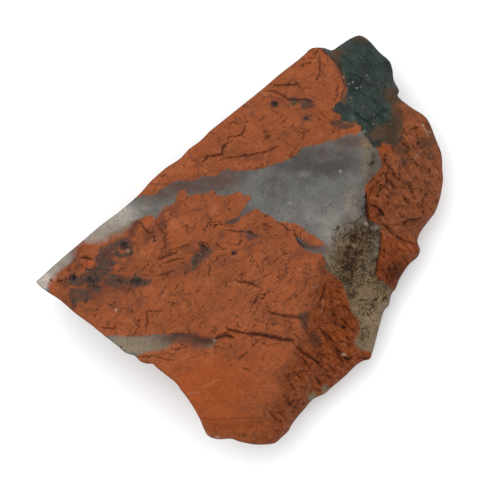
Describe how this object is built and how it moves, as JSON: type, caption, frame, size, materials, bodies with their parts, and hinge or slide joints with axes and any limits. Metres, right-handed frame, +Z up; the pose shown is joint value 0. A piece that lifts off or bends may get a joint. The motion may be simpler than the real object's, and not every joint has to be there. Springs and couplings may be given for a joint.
{
  "type": "rough red jasper",
  "caption": "Rough block of red jasper with grey chalcedony veins and a dark green band, sawn flat on top and naturally broken elsewhere; lies on a small flat spot to be shown or cut.",
  "frame": {"origin": "middle of the bounding box in plan, at the height of the surface that the stone rests on", "axes": "+Z up, out of the sawn face; +X along the long straight edge, from the thin pointed end towards the green corner; +Y towards that edge"},
  "size_m": [0.066, 0.045, 0.015],
  "materials": {
    "stone": "matt, rough broken jasper with a sawn face on top; red-brown with grey translucent veins and a dark green band"
  },
  "bodies": {
    "root": {"jasper_stone": "stone"}
  },
  "joints": []
}
